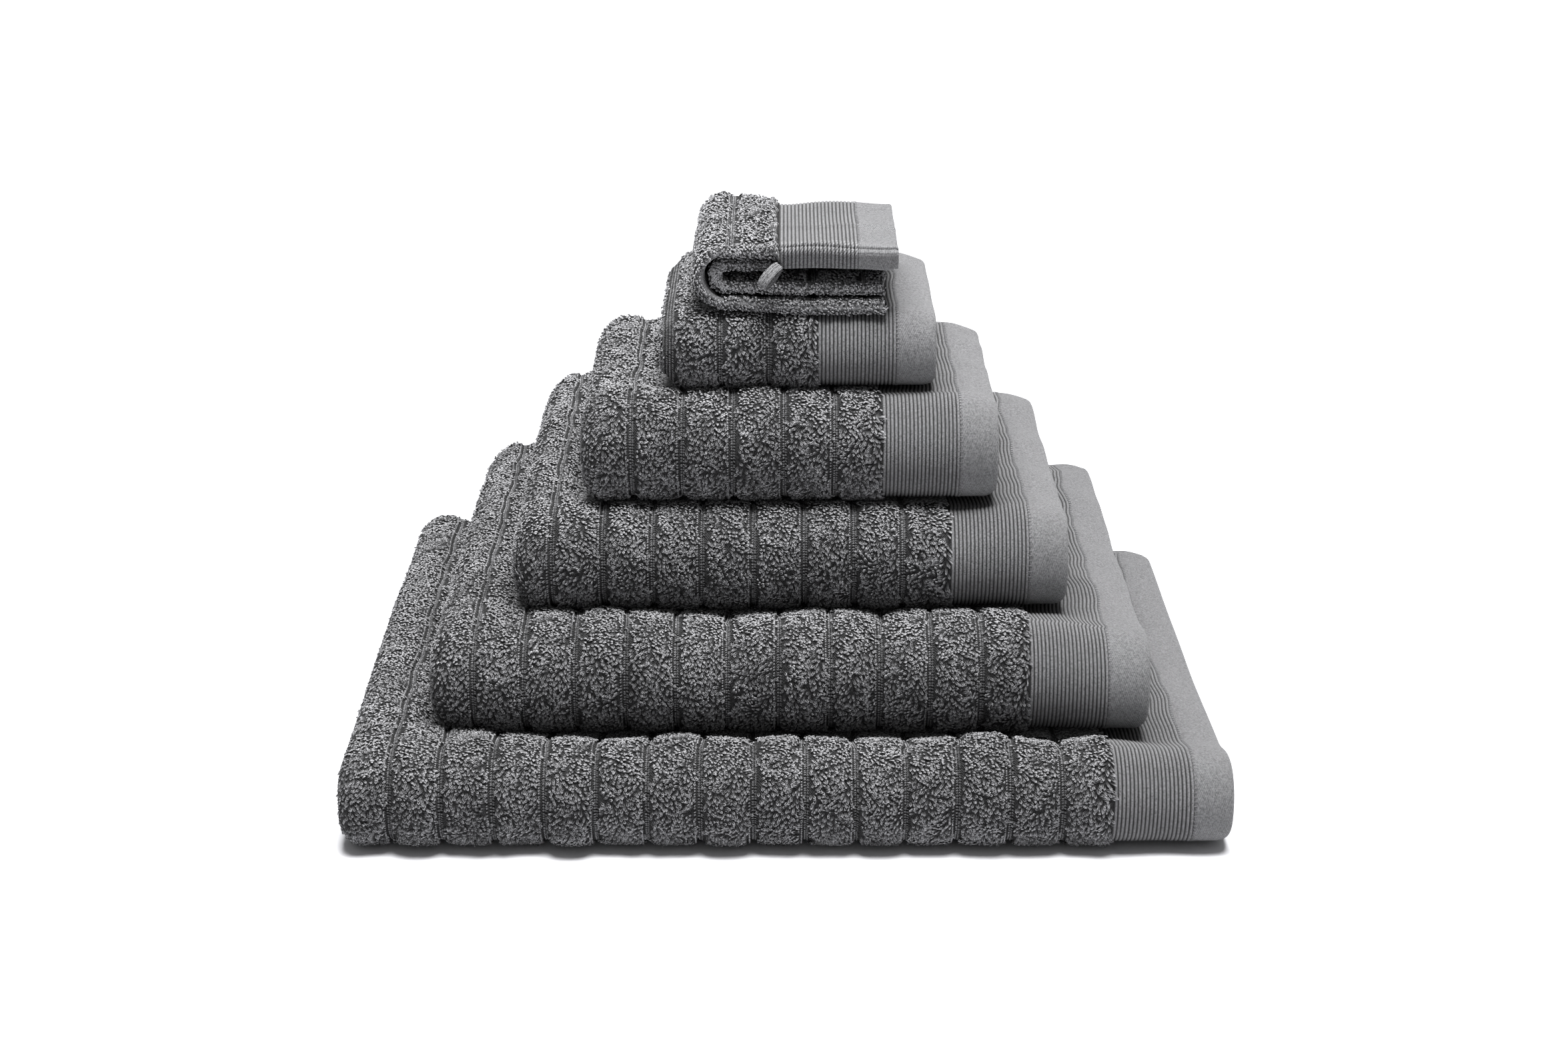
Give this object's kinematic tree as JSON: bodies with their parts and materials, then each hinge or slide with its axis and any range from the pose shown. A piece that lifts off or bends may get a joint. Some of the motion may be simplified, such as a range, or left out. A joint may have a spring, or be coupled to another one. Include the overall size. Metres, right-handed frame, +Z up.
{
  "type": "bath towel set",
  "caption": "Stack of folded ribbed terry towels in graded sizes with corded borders and plain hems, and a folded face cloth with a hang loop on top.",
  "frame": {"origin": "middle of the stack's outline, on the surface that it stands on", "axes": "+X to the hemmed ends of the towels, -Y to the rolled fronts, +Z up"},
  "size_m": [0.635, 0.5199, 0.3995],
  "materials": {
    "terry": "looped cotton pile",
    "corded_border": "corded cotton weave",
    "plain_hem": "flat cotton twill",
    "hem_thread": "spun thread",
    "tape": "knitted tape"
  },
  "bodies": {
    "jumbo_sheet": {"jumbo_sheet_terry": "terry", "jumbo_sheet_border": "corded_border", "jumbo_sheet_hem": "plain_hem", "jumbo_sheet_hem_thread": "hem_thread", "jumbo_sheet_side_hems": "plain_hem"},
    "bath_sheet": {"bath_sheet_terry": "terry", "bath_sheet_border": "corded_border", "bath_sheet_hem": "plain_hem", "bath_sheet_hem_thread": "hem_thread", "bath_sheet_side_hems": "plain_hem"},
    "bath_towel": {"bath_towel_terry": "terry", "bath_towel_border": "corded_border", "bath_towel_hem": "plain_hem", "bath_towel_hem_thread": "hem_thread", "bath_towel_side_hems": "plain_hem"},
    "hand_towel": {"hand_towel_terry": "terry", "hand_towel_border": "corded_border", "hand_towel_hem": "plain_hem", "hand_towel_hem_thread": "hem_thread", "hand_towel_side_hems": "plain_hem"},
    "guest_towel": {"guest_towel_terry": "terry", "guest_towel_border": "corded_border", "guest_towel_hem": "plain_hem", "guest_towel_hem_thread": "hem_thread", "guest_towel_side_hems": "plain_hem"},
    "face_cloth": {"face_cloth_lower_terry": "terry", "face_cloth_lower_side_hems": "plain_hem", "face_cloth_fold": "terry"},
    "face_cloth_flap": {"face_cloth_upper_terry": "terry", "face_cloth_upper_side_hems": "plain_hem", "face_cloth_border": "corded_border", "face_cloth_hem": "plain_hem", "face_cloth_hem_thread": "hem_thread"},
    "hang_loop": {"hang_loop": "tape"}
  },
  "joints": [
    {"name": "bath_sheet_lift", "type": "slide", "parent": "jumbo_sheet", "child": "bath_sheet", "axis": [0, 0, 1], "range_m": [0, 0.12]},
    {"name": "bath_towel_lift", "type": "slide", "parent": "bath_sheet", "child": "bath_towel", "axis": [0, 0, 1], "range_m": [0, 0.12]},
    {"name": "hand_towel_lift", "type": "slide", "parent": "bath_towel", "child": "hand_towel", "axis": [0, 0, 1], "range_m": [0, 0.12]},
    {"name": "guest_towel_lift", "type": "slide", "parent": "hand_towel", "child": "guest_towel", "axis": [0, 0, 1], "range_m": [0, 0.12]},
    {"name": "face_cloth_lift", "type": "slide", "parent": "guest_towel", "child": "face_cloth", "axis": [0, 0, 1], "range_m": [0, 0.12]},
    {"name": "face_cloth_unfold", "type": "hinge", "parent": "face_cloth", "child": "face_cloth_flap", "pos_m": [-0.042, 0.00203, 0.3745], "axis": [0, -1, 0], "range_deg": [0, 170], "deforming": ["face_cloth_fold"]},
    {"name": "hang_loop_swing", "type": "hinge", "parent": "face_cloth_flap", "child": "hang_loop", "pos_m": [-0.009, -0.07457, 0.3852], "axis": [-1, 0, 0], "range_deg": [0, 90]}
  ]
}
